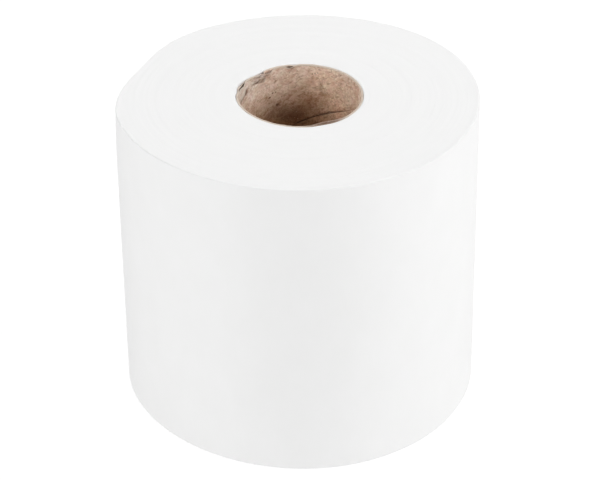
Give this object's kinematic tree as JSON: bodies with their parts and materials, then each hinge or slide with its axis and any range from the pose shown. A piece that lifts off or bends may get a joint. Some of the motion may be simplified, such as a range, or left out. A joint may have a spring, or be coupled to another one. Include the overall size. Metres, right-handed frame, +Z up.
{
  "type": "center pull paper towel roll",
  "caption": "White tissue towel wound on an open brown cardboard core, standing on one end, made to feed from its centre.",
  "frame": {"origin": "on the roll's axis, in the plane of the end that it stands on", "axes": "+Z up the axis, towards the dented mouth of the core; -Y towards the viewer of the source view"},
  "size_m": [0.1899, 0.1899, 0.17],
  "materials": {
    "tissue": "soft matt white tissue",
    "board": "matt grey-brown recycled board"
  },
  "bodies": {
    "root": {"paper_roll": "tissue", "core_tube": "board"}
  },
  "joints": []
}
